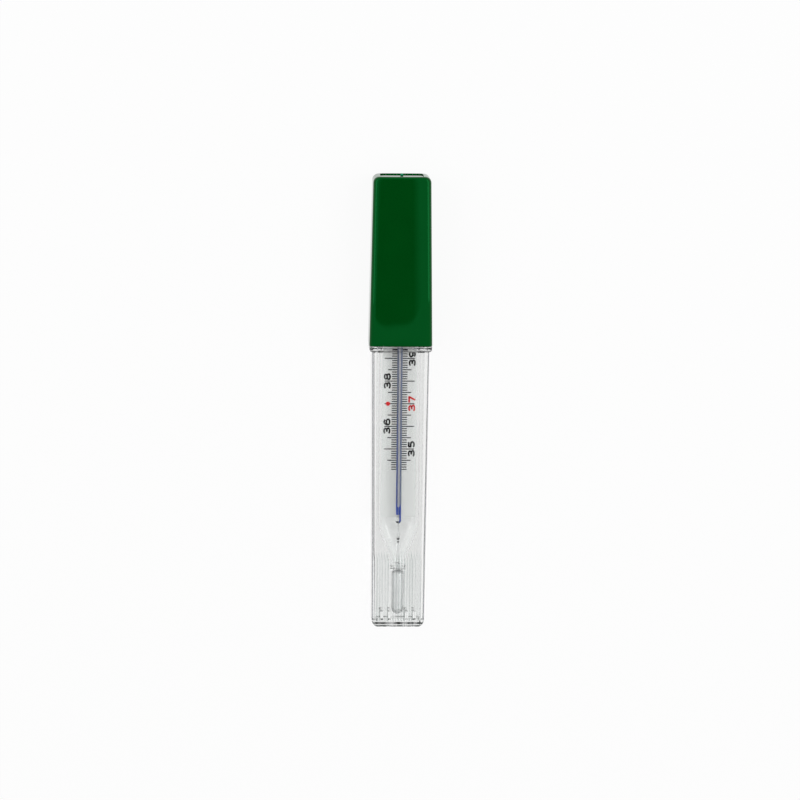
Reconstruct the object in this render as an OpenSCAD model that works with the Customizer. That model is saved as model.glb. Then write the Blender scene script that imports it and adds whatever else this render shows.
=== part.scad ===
// Enclosed-scale glass fever thermometer in a clear travel case with a push-on cap.
// Every piece is drawn upright, with the case's bottom at z = 0 and the scale facing -Y,
// and is then laid on its back: the cap points to +Y and the scale faces +Z.
// Sizes run from the inside out: the glass sets the case, and the case's neck sets the cap.

/* [Glass envelope] */
// Width of the flat-oval envelope
env_w = 11.7; // [10:0.1:14]
// Depth of the flat-oval envelope
env_d = 6.4; // [5.5:0.1:8]
// Wall of the envelope
env_wall = 0.6; // [0.4:0.05:0.8]
// Height of the shoulder between the fused neck and the straight part
shoulder_h = 12.5; // [9:0.5:18]
// How far the fused neck stands out from the bulb
neck_ring_lip = 0.4; // [0.2:0.05:0.8]
// Height of the fused neck
neck_ring_h = 1.5; // [1:0.1:5]
// Radius of the groove round the middle of the fused neck
neck_groove_r = 0.25; // [0.1:0.05:0.4]

/* [Bulb] */
// Diameter of the bulb
bulb_d = 3.6; // [3:0.1:4.4]
// Length of the bulb
bulb_h = 12.8; // [8:0.1:16]
// Wall of the bulb
bulb_wall = 0.3; // [0.2:0.05:0.5]
// Distance from the case's floor to the bulb's tip
bulb_tip_gap = 1.6; // [1:0.1:3]

/* [Capillaries] */
// Diameter of the bore that the thread moves in
bore_d = 0.5; // [0.36:0.02:0.6]
// Radial clearance between the liquid and its glass
liquid_clear = 0.03; // [0.02:0.01:0.06]
// Diameter of the lens-front scale capillary
capillary_d = 1.55; // [1.5:0.05:2.4]
// Distance from the capillary's axis back to the bore's axis
bore_back = 0.3; // [0.2:0.02:0.4]
// Glass between the bore and the flat on the capillary's back
bore_back_wall = 0.1; // [0.06:0.01:0.16]
// Height from the capillary's foot to the foot of the thread
thread_above_foot = 4.7; // [3:0.1:8]
// Spare bore above the 42 degree mark
bore_spare = 3.0; // [1:0.5:6]
// Solid glass above the end of the bore
capillary_tip = 6.4; // [2:0.1:10]
// How far the capillary's foot reaches down into the shoulder
foot_in_shoulder = 0.4; // [0:0.1:2]
// Wall of the stem capillary
stem_wall = 0.15; // [0.12:0.01:0.35]
// How far the two beads at the constriction stand out from the stem
bead_proud = 0.15; // [0.05:0.05:0.3]
// Distance between the two beads
bead_pitch = 0.9; // [0.7:0.05:1.5]
// Height of the lower bead above the fused neck
bead_above_neck = 6.7; // [3:0.1:8]

/* [Scale] */
// Height from the foot of the thread to the 35 degree mark
mark_35_above_thread = 16.8; // [10:0.1:24]
// Length of one degree on the scale
degree_len = 6.55; // [5:0.05:8]
// Length of the moving top of the thread
meniscus_h = 3.0; // [2:0.1:5]
// Thickness of the blue band behind the bore
strip_t = 0.1; // [0.05:0.01:0.2]
// Flat left bare on each side of the blue band
strip_margin = 0.05; // [0.02:0.01:0.2]
// Thickness of the scale plate
plate_t = 0.4; // [0.2:0.05:0.8]
// Clearance between the plate's edges and the envelope
plate_clear = 0.25; // [0.1:0.05:0.5]
// Height of the plate's lower edge above the end of the shoulder
plate_above_shoulder = 1.3; // [0.5:0.1:3]
// Gap between the plate's upper edge and the plug
plate_plug_gap = 0.3; // [0.1:0.1:0.8]

/* [End plug] */
// Distance from the capillary's tip to the plug
plug_above_capillary = 6.3; // [1:0.1:10]
// Length of the plug inside the glass
plug_spigot_h = 8.0; // [4:0.5:12]
// Height of the plug's head above the glass
plug_head_h = 4.5; // [3:0.1:8]
// Rounding of the head's upper edge
plug_head_r = 1.2; // [0.5:0.1:2]
// Clearance left in the joints of the glass
joint_clear = 0.05; // [0.02:0.01:0.1]

/* [Case] */
// Height of the case from its bottom to the top of its collar
case_h = 81.5; // [60:0.5:95]
// Room beside the envelope at the bottom of the case, on each side
room_side = 0.65; // [0.4:0.05:1.5]
// Room before and behind the envelope at the bottom of the case
room_face = 0.3; // [0.3:0.05:1]
// How much the cavity widens on each side from its floor to its mouth
cavity_draft = 0.35; // [0.2:0.05:0.8]
// Radius of the cavity's long corners
cavity_corner_r = 0.5; // [0.3:0.1:1.5]
// Wall of the case at its bottom
case_wall = 1.0; // [0.8:0.05:1.6]
// Thickness of the case's floor
case_floor_t = 1.7; // [1:0.1:3]
// Rounding of the case's bottom edge at the two narrow sides
case_bottom_side_r = 2.0; // [0.5:0.1:2.2]
// Rounding of the case's bottom edge at the front and back
case_bottom_face_r = 1.2; // [0.5:0.1:1.6]
// Height of the collar that the cap stops at
collar_h = 1.6; // [1.2:0.1:3]
// How far the collar stands out from the case
collar_lip = 0.8; // [0.6:0.05:1.1]
// Rounding of the collar's lower edge
collar_low_r = 0.7; // [0.1:0.05:0.8]
// Rounding of the collar's upper edge
collar_top_r = 0.15; // [0.05:0.05:0.4]
// How far the collar stays back from the cap's rim on each side
collar_step = 0.05; // [0:0.01:0.2]
// Height of the neck that the cap is pushed over
neck_h = 12.0; // [6:0.5:20]
// Wall of the neck at its mouth
neck_wall = 0.7; // [0.5:0.05:1.2]

/* [Fins in the case's bottom] */
// Height of the fins above the floor
fin_h = 2.8; // [2:0.1:6]
// Thickness of a fin
fin_t = 0.8; // [0.5:0.05:1.2]
// Distance from an inner fin to the outer fin beside it
fin_pitch = 2.2; // [1.5:0.1:3]
// Clearance between the bulb and the inner fins on each side
bulb_fin_clear = 0.25; // [0.2:0.05:0.5]

/* [Cap] */
// Clearance between the neck and the inside of the cap on each side
neck_clear = 0.15; // [0.1:0.01:0.3]
// Wall of the cap
cap_wall = 1.1; // [0.8:0.05:1.6]
// Radius of the cap's long corners
cap_corner_r = 1.5; // [1.2:0.1:3]
// How much the cap narrows on each side for each millimetre of its length
cap_draft = 0.0153; // [0.005:0.0005:0.03]
// Gap between the collar and the cap's rim
rim_gap = 0.1; // [0.05:0.05:0.5]
// Room above the plug inside the cap
head_room = 2.85; // [1:0.05:3.5]
// Thickness of the closed end under the tray
cap_end_t = 1.55; // [0.8:0.05:3]
// Rounding of the closed end at the two narrow sides
cap_end_side_r = 1.7; // [0.8:0.1:2]
// Rounding of the closed end at the front and back
cap_end_face_r = 0.7; // [0.3:0.1:1]
// Depth of the tray in the closed end
tray_depth = 0.3; // [0.2:0.05:0.9]
// Flat rim left round the tray
tray_rim = 0.4; // [0.2:0.05:1]
// Radius of the tray's corners
tray_corner_r = 1.4; // [0.5:0.1:2.5]
// Diameter of the gate nub
nub_d = 0.85; // [0.4:0.05:2]
// Height of the gate nub above the tray's floor
nub_h = 0.8; // [0.5:0.05:2]

/* [Hidden] */

$fn = 64;
// Steps in a quarter turn of a long corner, and in a rounded edge
corner_steps = 8;
edge_steps = 5;
// Points round an oval, and steps along the shoulder
oval_points = 40;
shoulder_steps = 12;
// Least radius of a long corner where a rounded edge runs into it
least_corner_r = 0.1;
// How far a cutting tool runs past the face it cuts
cut = 1;
// Degrees between the lowest and the highest mark that the thread is read at
scale_degrees = 7;

// Heights along the thermometer, from the bulb's tip up
bulb_z = case_floor_t + bulb_tip_gap;
neck_ring_z = bulb_z + bulb_h;
shoulder_z = neck_ring_z + neck_ring_h;
env_z = shoulder_z + shoulder_h;
foot_z = env_z - foot_in_shoulder;
bead_z = shoulder_z + bead_above_neck;
thread_z = foot_z + thread_above_foot;
top_mark_z = thread_z + mark_35_above_thread + scale_degrees * degree_len;
meniscus_z = top_mark_z - meniscus_h;
bore_top_z = top_mark_z + bore_spare;
capillary_top_z = bore_top_z + capillary_tip;
plug_z = capillary_top_z + plug_above_capillary;
env_top_z = plug_z + plug_spigot_h;
head_z = env_top_z + plug_head_h;
plate_z = env_z + plate_above_shoulder;
plate_top_z = plug_z - plate_plug_gap;

// Heights along the case and cap
collar_z = case_h - collar_h;
mouth_z = case_h + neck_h;
rim_z = case_h + rim_gap;
ceiling_z = head_z + head_room;
tray_z = ceiling_z + cap_end_t;
end_z = tray_z + tray_depth;
overall_h = max(end_z, tray_z + nub_h);

// Sizes across the glass. The bore runs along the middle of every piece.
env_r = env_d / 2;
env_flat = env_w / 2 - env_r;
env_in_r = env_r - env_wall;
bulb_r = bulb_d / 2;
bulb_in_r = bulb_r - bulb_wall;
neck_ring_r = bulb_r + neck_ring_lip;
bore_r = bore_d / 2;
liquid_r = bore_r - liquid_clear;
stem_r = bore_r + stem_wall;
capillary_r = capillary_d / 2;
capillary_flat = bore_back + bore_r + bore_back_wall;
strip_y = bore_r + bore_back_wall;
strip_w = 2 * sqrt(capillary_r * capillary_r - capillary_flat * capillary_flat) - 2 * strip_margin;
plate_y = strip_y + strip_t;
plate_back = plate_y + plate_t;
plate_w = 2 * (env_flat + sqrt(env_in_r * env_in_r - plate_back * plate_back) - plate_clear);

// Sizes across the case and cap, as [width, depth] and as radii of the long corners
cavity_bottom = [env_w + 2 * room_side, env_d + 2 * room_face];
cavity_mouth = grown(cavity_bottom, cavity_draft);
case_bottom = grown(cavity_bottom, case_wall);
neck_mouth = grown(cavity_mouth, neck_wall);
collar_size = grown(cap_at(rim_z), -collar_step);
case_top = grown(collar_size, -collar_lip);
case_corner_r = cavity_corner_r + case_wall;
neck_corner_r = cavity_corner_r + neck_wall;
cap_in_corner_r = neck_corner_r + neck_clear;
collar_corner_r = cap_corner_r - collar_step;
bottom_face_r = min(case_bottom_face_r, case_corner_r - least_corner_r);
collar_round_r = min(collar_low_r, collar_lip - least_corner_r);
fin_x = bulb_r + bulb_fin_clear + fin_t / 2;
fin_d = cavity_bottom[1] + case_wall;

// A [width, depth] with an amount added on every side
function grown(size, by) = [size[0] + 2 * by, size[1] + 2 * by];
// Size of the neck, of the cap's inside and of the cap's outside at a height
function neck_at(z) = grown(neck_mouth, cap_draft * (mouth_z - z));
function cap_inside_at(z) = grown(neck_at(z), neck_clear);
function cap_at(z) = grown(cap_inside_at(z), cap_wall);
// How far a rounded edge of radius r draws in at a distance h from its end
function drawn_in(h, r) = h >= r ? 0 : r - sqrt(r * r - (r - h) * (r - h));
// Distances from the end of a rounded edge of radius r, from 0 to r
function edge_heights(r) = [for (k = [0 : edge_steps]) r * (1 - cos(90 * k / edge_steps))];
// The same list from its last value to its first
function backwards(list) = [for (i = [len(list) - 1 : -1 : 0]) list[i]];

// Ring of points of a rounded rectangle at a height
function box_ring(z, size, r) = [
    for (q = [0 : 3], i = [0 : corner_steps])
        let (
            turn = 90 * (q + i / corner_steps),
            side = q == 0 || q == 3 ? 1 : -1,
            face = q < 2 ? 1 : -1
        )
        [side * (size[0] / 2 - r) + r * cos(turn), face * (size[1] / 2 - r) + r * sin(turn), z]
];
// Ring of points of a flat oval at a height: two half circles joined by flats
function oval_ring(z, flat, r) = [
    for (i = [0 : oval_points - 1])
        let (turn = 360 * i / oval_points, middle = turn == 90 || turn == 270)
        [(middle ? 0 : sign(cos(turn)) * flat) + r * cos(turn), r * sin(turn), z]
];

// Solid through a stack of rings, from the lowest up
module loft(rings) {
    n = len(rings[0]);
    last = len(rings) - 1;
    sides = [
        for (k = [0 : last - 1], i = [0 : n - 1], half = [0, 1])
            let (a = k * n + i, b = k * n + (i + 1) % n)
            half == 0 ? [a, a + n, b + n] : [a, b + n, b]
    ];
    bottom = [for (i = [0 : n - 1]) i];
    top = [for (i = [0 : n - 1]) last * n + n - 1 - i];
    polyhedron([for (ring = rings, p = ring) p], concat([bottom], sides, [top]));
}

// Flat-oval prism
module oval(flat, r, h) {
    linear_extrude(h) {
        square([2 * flat, 2 * r], center = true);
        for (side = [-1, 1]) translate([side * flat, 0]) circle(r);
    }
}

// Half outline of a rod with a half-round lower end
module thimble_profile(r, h) {
    translate([0, r]) square([r, h - r]);
    intersection() {
        translate([0, r]) circle(r);
        square(r);
    }
}

// Lays an upright piece on its back, with the lowest line of the cap on the ground
module laid() {
    translate([0, -overall_h / 2, cap_at(rim_z)[1] / 2]) rotate([-90, 0, 0]) children();
}

module case_outside() {
    bottom_edge = [
        for (h = edge_heights(case_bottom_side_r))
            let (side = drawn_in(h, case_bottom_side_r), face = drawn_in(h, bottom_face_r))
            box_ring(h, case_bottom - 2 * [side, face], case_corner_r - face)
    ];
    under_collar = box_ring(collar_z, case_top, case_corner_r);
    collar_heights = concat(
        [for (h = edge_heights(collar_round_r)) [collar_z + h, drawn_in(h, collar_round_r)]],
        [for (h = backwards(edge_heights(collar_top_r))) [case_h - h, drawn_in(h, collar_top_r)]]
    );
    collar = [
        for (at = collar_heights) box_ring(at[0], grown(collar_size, -at[1]), collar_corner_r - at[1])
    ];
    neck = [for (z = [case_h, mouth_z]) box_ring(z, neck_at(z), neck_corner_r)];
    loft(concat(bottom_edge, [under_collar], collar, neck));
}

module case_cavity() {
    loft([
        box_ring(case_floor_t, cavity_bottom, cavity_corner_r),
        box_ring(mouth_z, cavity_mouth, cavity_corner_r),
        box_ring(mouth_z + cut, cavity_mouth, cavity_corner_r)
    ]);
}

// Clear tube with its collar, neck and four fins that keep the bulb in the middle
module case() {
    color("gainsboro", 0.4) laid() {
        difference() {
            case_outside();
            case_cavity();
        }
        for (side = [-1, 1], k = [0, 1])
            translate([side * (fin_x + k * fin_pitch) - fin_t / 2, -fin_d / 2, case_floor_t])
                cube([fin_t, fin_d, fin_h]);
    }
}

module cap_outside() {
    end_edge = [
        for (h = backwards(edge_heights(cap_end_side_r)))
            let (
                side = drawn_in(h, cap_end_side_r),
                face = drawn_in(h, cap_end_face_r),
                size = cap_at(end_z - h) - 2 * [side, face]
            )
            box_ring(end_z - h, size, cap_corner_r - face)
    ];
    loft(concat([box_ring(rim_z, cap_at(rim_z), cap_corner_r)], end_edge));
}

module cap_cavity() {
    loft([for (z = [rim_z - cut, ceiling_z]) box_ring(z, cap_inside_at(z), cap_in_corner_r)]);
}

module tray() {
    size = cap_at(end_z) - 2 * [cap_end_side_r + tray_rim, cap_end_face_r + tray_rim];
    loft([for (z = [tray_z, end_z + cut]) box_ring(z, size, tray_corner_r)]);
}

// Push-on cap with a tray and a gate nub in its closed end
module cap() {
    color("darkgreen") laid() {
        difference() {
            cap_outside();
            cap_cavity();
            tray();
        }
        translate([0, 0, tray_z]) cylinder(d = nub_d, h = nub_h);
    }
}

// Rings of the drawn glass between a circle at z0 and a flat oval at z1
function shoulder_rings_at(z0, z1, circle_r, flat, r) = [
    for (k = [0 : shoulder_steps])
        let (t = k / shoulder_steps, s = t * t * (3 - 2 * t))
        oval_ring(z0 + (z1 - z0) * t, flat * s, circle_r + (r - circle_r) * s)
];

// Flat-oval glass tube with a drawn shoulder and a grooved, fused neck
module envelope() {
    groove_z = neck_ring_z + neck_ring_h / 2;
    neck_ring = concat(
        [oval_ring(neck_ring_z, 0, neck_ring_r)],
        [
            for (k = [-edge_steps : edge_steps])
                let (turn = 90 * k / edge_steps)
                oval_ring(
                    groove_z + neck_groove_r * sin(turn), 0, neck_ring_r - neck_groove_r * cos(turn)
                )
        ]
    );
    outside = shoulder_rings_at(shoulder_z, env_z, neck_ring_r, env_flat, env_r);
    inside = shoulder_rings_at(shoulder_z + env_wall, env_z, neck_ring_r - env_wall, env_flat, env_in_r);
    color("lightcyan", 0.3) laid() difference() {
        loft(concat(neck_ring, outside, [oval_ring(env_top_z, env_flat, env_r)]));
        loft(concat(inside, [oval_ring(env_top_z + cut, env_flat, env_in_r)]));
        translate([0, 0, neck_ring_z - cut])
            cylinder(r = stem_r + joint_clear, h = neck_ring_h + env_wall + 2 * cut);
    }
}

// Plug that closes the glass, with a rounded head
module end_plug() {
    head_edge = [
        for (h = backwards(edge_heights(plug_head_r)))
            oval_ring(head_z - h, env_flat, env_r - drawn_in(h, plug_head_r))
    ];
    color("darkgreen") laid() {
        translate([0, 0, plug_z]) oval(env_flat, env_in_r - joint_clear, plug_spigot_h);
        loft(concat([oval_ring(env_top_z, env_flat, env_r)], head_edge));
    }
}

// Thin glass thimble
module bulb() {
    color("lightgray", 0.5) laid() translate([0, 0, bulb_z]) rotate_extrude() difference() {
        thimble_profile(bulb_r, bulb_h);
        translate([0, bulb_wall]) thimble_profile(bulb_in_r, bulb_h);
    }
}

// Thin tube from the fused neck to the foot of the scale capillary, with two beads at the constriction
module stem_capillary() {
    h = foot_z - neck_ring_z;
    color("aliceblue", 0.5) laid() difference() {
        union() {
            translate([0, 0, neck_ring_z]) cylinder(r = stem_r, h = h);
            for (k = [0, 1])
                translate([0, 0, bead_z + k * bead_pitch]) sphere(r = stem_r + bead_proud);
        }
        translate([0, 0, neck_ring_z - cut]) cylinder(r = bore_r, h = h + 2 * cut);
    }
}

// Lens-front rod with the bore near its flat back, and a round foot cut flat where the stem joins
module scale_capillary() {
    h = capillary_top_z - foot_z;
    foot_cut = capillary_r - sqrt(capillary_r * capillary_r - stem_r * stem_r);
    color("aliceblue", 0.5) laid() translate([0, 0, foot_z]) difference() {
        translate([0, -bore_back, -foot_cut]) rotate_extrude()
            thimble_profile(capillary_r, h + foot_cut);
        translate([-capillary_d, -capillary_d, -cut]) cube([2 * capillary_d, 2 * capillary_d, cut]);
        translate([-capillary_d, strip_y, -cut]) cube([2 * capillary_d, capillary_d, h + 2 * cut]);
        translate([0, 0, -cut]) cylinder(r = bore_r, h = bore_top_z - foot_z + cut);
    }
}

// Blue band between the capillary's flat and the plate
module backing_strip() {
    color("mediumblue") laid() translate([-strip_w / 2, strip_y, plate_z])
        cube([strip_w, strip_t, capillary_top_z - plate_z]);
}

// Plate that carries the printed scale
module scale_plate() {
    color("white") laid() translate([-plate_w / 2, plate_y, plate_z])
        cube([plate_w, plate_t, plate_top_z - plate_z]);
}

// Liquid in the bulb and in the stem, up to the foot of the thread
module bulb_liquid() {
    fill_z = bulb_z + bulb_wall + liquid_clear;
    color("silver") laid() {
        translate([0, 0, fill_z]) rotate_extrude()
            thimble_profile(bulb_in_r - liquid_clear, neck_ring_z - fill_z);
        translate([0, 0, neck_ring_z - cut]) cylinder(r = liquid_r, h = thread_z - neck_ring_z + cut);
    }
}

// Column in the bore, up to its moving top
module liquid_thread() {
    color("silver") laid() translate([0, 0, thread_z]) cylinder(r = liquid_r, h = meniscus_z - thread_z);
}

// Moving top of the column, at the highest mark
module meniscus() {
    color("silver") laid() translate([0, 0, meniscus_z]) cylinder(r = liquid_r, h = meniscus_h);
}

case();
cap();
envelope();
end_plug();
bulb();
stem_capillary();
scale_capillary();
backing_strip();
scale_plate();
bulb_liquid();
liquid_thread();
meniscus();
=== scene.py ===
"""Looks of a glass fever thermometer in its clear travel case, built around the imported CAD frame.

Lengths are in metres in the part's own frame: +Y runs along the case towards the closed end of the cap,
and +Z comes out of the scale. Places come from the frame, and the other sizes are named in millimetres
times MM.
"""

import math

import bmesh
import bpy
from mathutils import Matrix, Vector


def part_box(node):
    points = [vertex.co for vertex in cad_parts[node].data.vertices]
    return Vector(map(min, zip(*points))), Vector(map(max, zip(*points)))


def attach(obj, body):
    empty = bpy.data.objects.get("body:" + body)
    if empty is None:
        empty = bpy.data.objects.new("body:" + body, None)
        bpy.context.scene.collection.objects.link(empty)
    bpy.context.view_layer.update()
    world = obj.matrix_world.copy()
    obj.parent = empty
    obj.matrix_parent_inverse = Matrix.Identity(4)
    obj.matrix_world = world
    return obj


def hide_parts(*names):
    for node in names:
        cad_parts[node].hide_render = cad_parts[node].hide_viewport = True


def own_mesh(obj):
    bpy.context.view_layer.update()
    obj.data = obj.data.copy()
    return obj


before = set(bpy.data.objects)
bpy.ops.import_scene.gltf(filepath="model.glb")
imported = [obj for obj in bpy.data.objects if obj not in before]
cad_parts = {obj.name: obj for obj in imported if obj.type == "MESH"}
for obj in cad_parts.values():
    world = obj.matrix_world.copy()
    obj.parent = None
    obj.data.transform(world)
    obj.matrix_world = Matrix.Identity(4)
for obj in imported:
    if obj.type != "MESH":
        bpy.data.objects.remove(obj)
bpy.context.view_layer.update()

MM = 0.001

# Boxes of the CAD nodes that the pieces below stand for
case_lo, case_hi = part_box("case")
cap_lo, cap_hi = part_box("cap")
env_lo, env_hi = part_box("envelope")
plug_lo, plug_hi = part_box("end_plug")
bulb_lo, bulb_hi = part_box("bulb")
rod_lo, rod_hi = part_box("scale_capillary")
strip_lo, strip_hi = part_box("backing_strip")
plate_lo, plate_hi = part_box("scale_plate")
thread_lo, thread_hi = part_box("liquid_thread")
meniscus_lo, meniscus_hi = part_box("meniscus")

# The bore runs along this height over the floor, through the middle of every piece
AXIS_Z = (cap_lo.z + cap_hi.z) / 2

# Mesh fineness
CORNER_STEPS = 10
FLAT_STEPS = 12
EDGE_STEPS = 6
ROUND_END_STEPS = 12
ROUND_POINTS = 48
OVAL_POINTS = 96
SHOULDER_STEPS = 28
BEAD_STEPS = 8
DOT_POINTS = 40
ARC_STEP = 12
LEAST_ARC_STEPS = 4
SHARP_ANGLE = math.radians(32)


def grown(size, by):
    """A (width, depth) with an amount added on every side."""
    return (size[0] + 2 * by, size[1] + 2 * by)


def drawn_in(h, r):
    """How far a rounded edge of radius r draws in at a distance h from its end."""
    if h >= r:
        return 0.0
    return r - math.sqrt(r * r - (r - h) * (r - h))


def quarter_turns(steps):
    """Angles of a quarter circle, from 0 in even steps."""
    return [math.pi / 2 * k / steps for k in range(steps + 1)]


def edge_heights(r):
    """Distances from the end of a rounded edge of radius r, from 0 to r."""
    return [r * (1 - math.cos(turn)) for turn in quarter_turns(EDGE_STEPS)]


def box_ring(y, size, r, crown=0.0, x=0.0):
    """Ring of a rounded rectangle across the part. Front and back fall by crown towards their corners."""
    half_w = size[0] / 2 - r
    half_d = size[1] / 2 - crown - r
    corners = [(1, 1), (-1, 1), (-1, -1), (1, -1)]
    points = []
    for quarter, (side, face) in enumerate(corners):
        for step in range(CORNER_STEPS + 1):
            turn = math.pi / 2 * (quarter + step / CORNER_STEPS)
            across = side * half_w + r * math.cos(turn)
            out = face * half_d + r * math.sin(turn)
            points.append(Vector((x + across, y, AXIS_Z + out)))
        for step in range(1, FLAT_STEPS):
            t = step / FLAT_STEPS
            if quarter % 2 == 0:
                across = side * half_w * (1 - 2 * t)
                out = face * (size[1] / 2 - crown * (1 - 2 * t) ** 2)
            else:
                across = side * size[0] / 2
                out = face * half_d * (1 - 2 * t)
            points.append(Vector((x + across, y, AXIS_Z + out)))
    return points


def oval_ring(y, flat, r):
    """Ring of a flat oval: two half circles of radius r, joined by flats of half length flat."""
    points = []
    for i in range(OVAL_POINTS):
        turn = 2 * math.pi * i / OVAL_POINTS
        middle = i % (OVAL_POINTS // 2) == OVAL_POINTS // 4
        shift = 0.0 if middle else math.copysign(flat, math.cos(turn))
        points.append(Vector((shift + r * math.cos(turn), y, AXIS_Z + r * math.sin(turn))))
    return points


def ellipse_ring(y, half_w, half_d):
    """Ring of an ellipse round the part's axis."""
    turns = [2 * math.pi * i / ROUND_POINTS for i in range(ROUND_POINTS)]
    return [Vector((half_w * math.cos(t), y, AXIS_Z + half_d * math.sin(t))) for t in turns]


def lens_ring(y, r, flat, z):
    """Ring of a round rod with a flat on its back, at a distance flat behind its middle."""
    turns = [2 * math.pi * i / OVAL_POINTS for i in range(OVAL_POINTS)]
    return [Vector((r * math.cos(t), y, z + max(r * math.sin(t), -flat))) for t in turns]


def loft(rings):
    """Closed bmesh through a stack of rings."""
    bm = bmesh.new()
    rows = [[bm.verts.new(p) for p in ring] for ring in rings]
    n = len(rows[0])
    for low, high in zip(rows, rows[1:]):
        for i in range(n):
            j = (i + 1) % n
            bm.faces.new((low[i], low[j], high[j], high[i]))
    bm.faces.new(list(reversed(rows[0])))
    bm.faces.new(rows[-1])
    bmesh.ops.recalc_face_normals(bm, faces=bm.faces)
    return bm


def add_mesh(bm, other):
    """Adds another bmesh to a bmesh, and frees the other one."""
    mesh = bpy.data.meshes.new("added")
    other.to_mesh(mesh)
    other.free()
    bm.from_mesh(mesh)
    bpy.data.meshes.remove(mesh)


def add_box(bm, x, y, z):
    """Adds a box to a bmesh. Each of x, y and z is a pair of the box's lowest and highest values."""
    size = Vector([high - low for low, high in (x, y, z)])
    middle = Vector([(low + high) / 2 for low, high in (x, y, z)])
    bmesh.ops.create_cube(bm, size=1, matrix=Matrix.LocRotScale(middle, None, size))


def to_object(name, bm):
    """Object with the bmesh's mesh, smooth but for its sharp edges."""
    mesh = bpy.data.meshes.new(name)
    bm.to_mesh(mesh)
    bm.free()
    mesh.polygons.foreach_set("use_smooth", [True] * len(mesh.polygons))
    mesh.set_sharp_from_angle(angle=SHARP_ANGLE)
    obj = bpy.data.objects.new(name, mesh)
    bpy.context.scene.collection.objects.link(obj)
    return obj


def piece(name, bm, material, slot, body, *nodes, flats=False, clear=False):
    """Piece of the part: its mesh, its finish, the body that it rides on and the nodes that it stands for.
    A clear piece casts no shadow, so that the lamps reach what is inside it."""
    obj = to_object(name, bm)
    obj.visible_shadow = not clear
    if flats:
        even = obj.modifiers.new("even_flats", "WEIGHTED_NORMAL")
        even.keep_sharp = True
    obj.data.materials.append(material)
    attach(obj, body)
    if nodes:
        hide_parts(*nodes)
    return obj


# Materials


def new_material(name, **sockets):
    """Principled material, with constants set on the shader's own sockets."""
    material = bpy.data.materials.new(name)
    material.use_nodes = True
    shader = material.node_tree.nodes["Principled BSDF"]
    for socket, value in sockets.items():
        shader.inputs[socket.replace("_", " ")].default_value = value
    return material, material.node_tree, shader


def add_node(tree, kind, **values):
    """Node with some of its inputs or properties set."""
    node = tree.nodes.new(kind)
    for name, value in values.items():
        if hasattr(node, name):
            setattr(node, name, value)
        else:
            node.inputs[name.replace("_", " ")].default_value = value
    return node


def math_node(tree, operation, a, b=None):
    """Math node on two values, each a socket or a number."""
    node = tree.nodes.new("ShaderNodeMath")
    node.operation = operation
    for socket, value in zip(node.inputs, (a, b)):
        if value is None:
            continue
        if isinstance(value, (int, float)):
            socket.default_value = value
        else:
            tree.links.new(value, socket)
    return node.outputs[0]


def product(tree, first, *others):
    """Product of values, each a socket or a number."""
    for other in others:
        first = math_node(tree, "MULTIPLY", first, other)
    return first


def place(tree):
    """X, Y and Z of a point in the part's frame."""
    split = tree.nodes.new("ShaderNodeSeparateXYZ")
    coordinates = tree.nodes.new("ShaderNodeTexCoord")
    tree.links.new(coordinates.outputs["Object"], split.inputs[0])
    return split.outputs


def noise(tree, scale, stretch=(1, 1, 1), detail=3.0):
    """Noise in the part's frame. Scale is in features per metre."""
    coordinates = tree.nodes.new("ShaderNodeTexCoord")
    mapping = add_node(tree, "ShaderNodeMapping", Scale=stretch)
    pattern = add_node(tree, "ShaderNodeTexNoise", Scale=scale, Detail=detail)
    tree.links.new(coordinates.outputs["Object"], mapping.inputs["Vector"])
    tree.links.new(mapping.outputs["Vector"], pattern.inputs["Vector"])
    return pattern.outputs["Fac"]


def spread(tree, value, low, high, from_low=0.3, from_high=0.7):
    """A value between from_low and from_high, spread from low to high."""
    node = add_node(
        tree, "ShaderNodeMapRange", From_Min=from_low, From_Max=from_high, To_Min=low, To_Max=high
    )
    tree.links.new(value, node.inputs["Value"])
    return node.outputs["Result"]


def band(tree, value, low, high, soft):
    """1 where a value lies between low and high, and 0 elsewhere, with soft ends."""
    rise = spread(tree, value, 0.0, 1.0, low - soft, low + soft)
    fall = spread(tree, value, 1.0, 0.0, high - soft, high + soft)
    return product(tree, rise, fall)


def blend_colors(tree, factor, first, second):
    """Colour between two colours, each a socket or three numbers."""
    node = add_node(tree, "ShaderNodeMix", data_type="RGBA")
    for socket, value in zip((node.inputs[6], node.inputs[7]), (first, second)):
        if isinstance(value, tuple):
            socket.default_value = (*value, 1)
        else:
            tree.links.new(value, socket)
    tree.links.new(factor, node.inputs["Factor"])
    return node.outputs[2]


def add_bump(tree, shader, height, distance):
    """Bump on the shader's normal. Height 0 to 1 stands for the distance in metres."""
    bump = add_node(tree, "ShaderNodeBump", Strength=1.0, Distance=distance)
    tree.links.new(height, bump.inputs["Height"])
    tree.links.new(bump.outputs["Normal"], shader.inputs["Normal"])


green_tones = ((0.0, 0.051, 0.0044), (0.0, 0.060, 0.0054))
green_roughness = (0.015, 0.025)
green_wave = 0.003 * MM
# Painted highlight: the domed gate nub is painted paler for the light that it catches
nub_highlight_tone = (0.02, 0.3, 0.16)
nub_roughness = 0.5
nub_below_top = (0.6 * MM, 0.45 * MM)
nub_reach = 0.5 * MM
nub_soft = 0.02 * MM


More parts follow.
